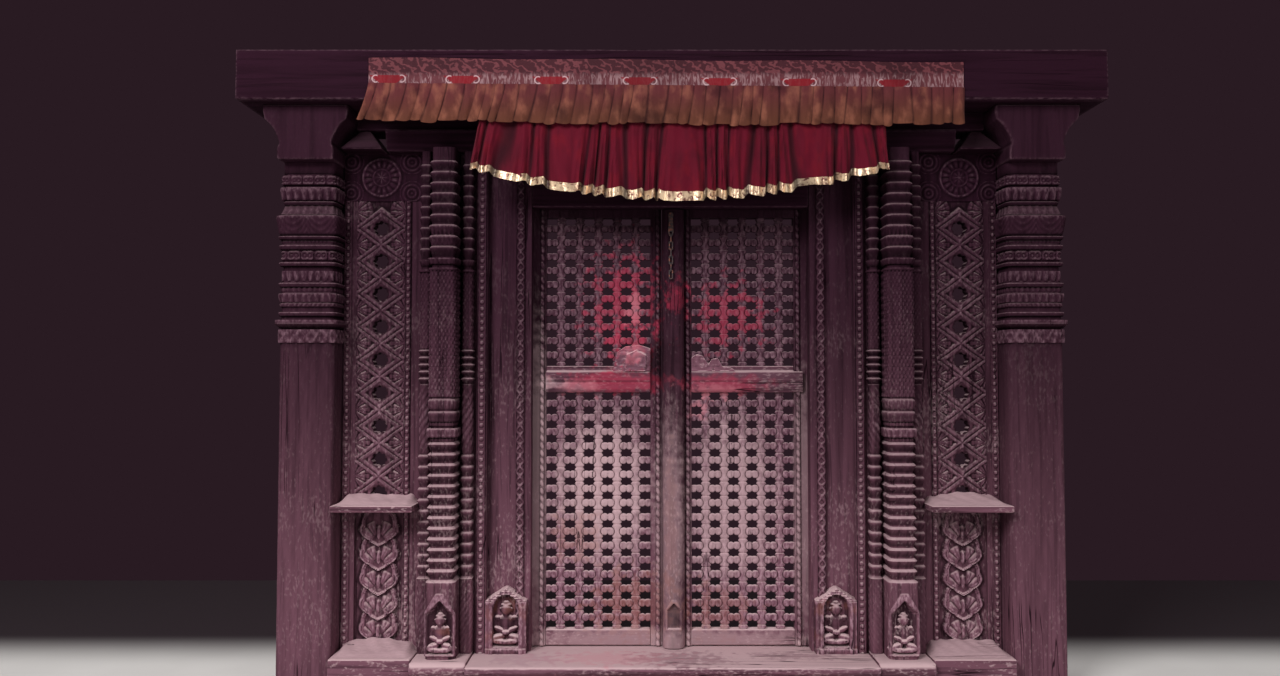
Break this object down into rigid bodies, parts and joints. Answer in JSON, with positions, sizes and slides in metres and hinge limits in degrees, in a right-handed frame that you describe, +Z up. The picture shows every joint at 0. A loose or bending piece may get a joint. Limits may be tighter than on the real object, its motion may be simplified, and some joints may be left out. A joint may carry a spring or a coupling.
{
  "type": "carved temple door",
  "caption": "Carved timber temple doorway with lattice leaves on wooden pivots, ringed colonettes, pierced side panels, carved pillars, a head beam and a cloth valance.",
  "frame": {"origin": "middle of the threshold's underside, in the plane of the closed leaves' front faces", "axes": "+X to the right as seen from the front, +Y into the building, +Z up"},
  "size_m": [2.96, 0.375, 2.18],
  "materials": {
    "frame_timber": "dark weathered",
    "panel_timber": "dark weathered",
    "leaf_timber": "worn and dusty",
    "sill_timber": "worn and dusty",
    "iron": "rusted",
    "brocade": "woven scrolls",
    "frill_cloth": "pleated satin",
    "skirt_cloth": "gathered cotton",
    "gold_foil": "foil trim"
  },
  "bodies": {
    "frame": {"threshold": "sill_timber", "threshold_step": "sill_timber", "lintel": "frame_timber", "door_head": "frame_timber", "pivot_rail": "frame_timber", "frieze_board": "frame_timber", "head_beam": "frame_timber", "valance_band": "brocade", "valance_frill": "frill_cloth", "valance_skirt": "skirt_cloth", "valance_trim": "gold_foil", "left_plinth": "sill_timber", "right_plinth": "sill_timber", "left_ledge": "sill_timber", "right_ledge": "sill_timber", "left_jamb": "frame_timber", "right_jamb": "frame_timber", "left_jamb_niche": "frame_timber", "right_jamb_niche": "frame_timber", "left_colonette": "frame_timber", "right_colonette": "frame_timber", "left_bay_stiles": "panel_timber", "right_bay_stiles": "panel_timber", "left_lozenge_panel": "panel_timber", "right_lozenge_panel": "panel_timber", "left_foliage_panel": "panel_timber", "right_foliage_panel": "panel_timber", "left_shelf": "sill_timber", "right_shelf": "sill_timber", "left_medallion_board": "panel_timber", "right_medallion_board": "panel_timber", "left_lintel_cap": "frame_timber", "right_lintel_cap": "frame_timber", "left_pillar": "frame_timber", "right_pillar": "frame_timber", "left_capital": "frame_timber", "right_capital": "frame_timber"},
    "left_leaf": {"left_hanging_stile": "leaf_timber", "left_meeting_stile": "leaf_timber", "left_top_rail": "leaf_timber", "left_bottom_rail": "leaf_timber", "left_mid_rail": "leaf_timber", "left_uprights": "leaf_timber", "left_crossbars": "leaf_timber", "left_crest": "leaf_timber"},
    "right_leaf": {"right_hanging_stile": "leaf_timber", "right_meeting_stile": "leaf_timber", "right_top_rail": "leaf_timber", "right_bottom_rail": "leaf_timber", "right_mid_rail": "leaf_timber", "right_uprights": "leaf_timber", "right_crossbars": "leaf_timber", "right_crest": "leaf_timber", "centre_post": "leaf_timber", "latch_stud": "iron"},
    "latch": {"latch_hasp": "iron", "latch_chain": "iron"}
  },
  "joints": [
    {"name": "left_leaf_pivot", "type": "hinge", "parent": "frame", "child": "left_leaf", "pos_m": [-0.498, 0.02, 0.9], "axis": [0, 0, 1], "range_deg": [0, 90]},
    {"name": "right_leaf_pivot", "type": "hinge", "parent": "frame", "child": "right_leaf", "pos_m": [0.498, 0.02, 0.9], "axis": [0, 0, -1], "range_deg": [0, 90]},
    {"name": "latch_swing", "type": "hinge", "parent": "right_leaf", "child": "latch", "pos_m": [0.002, -0.0535, 1.645], "axis": [0, 1, 0], "range_deg": [-20, 20]}
  ]
}
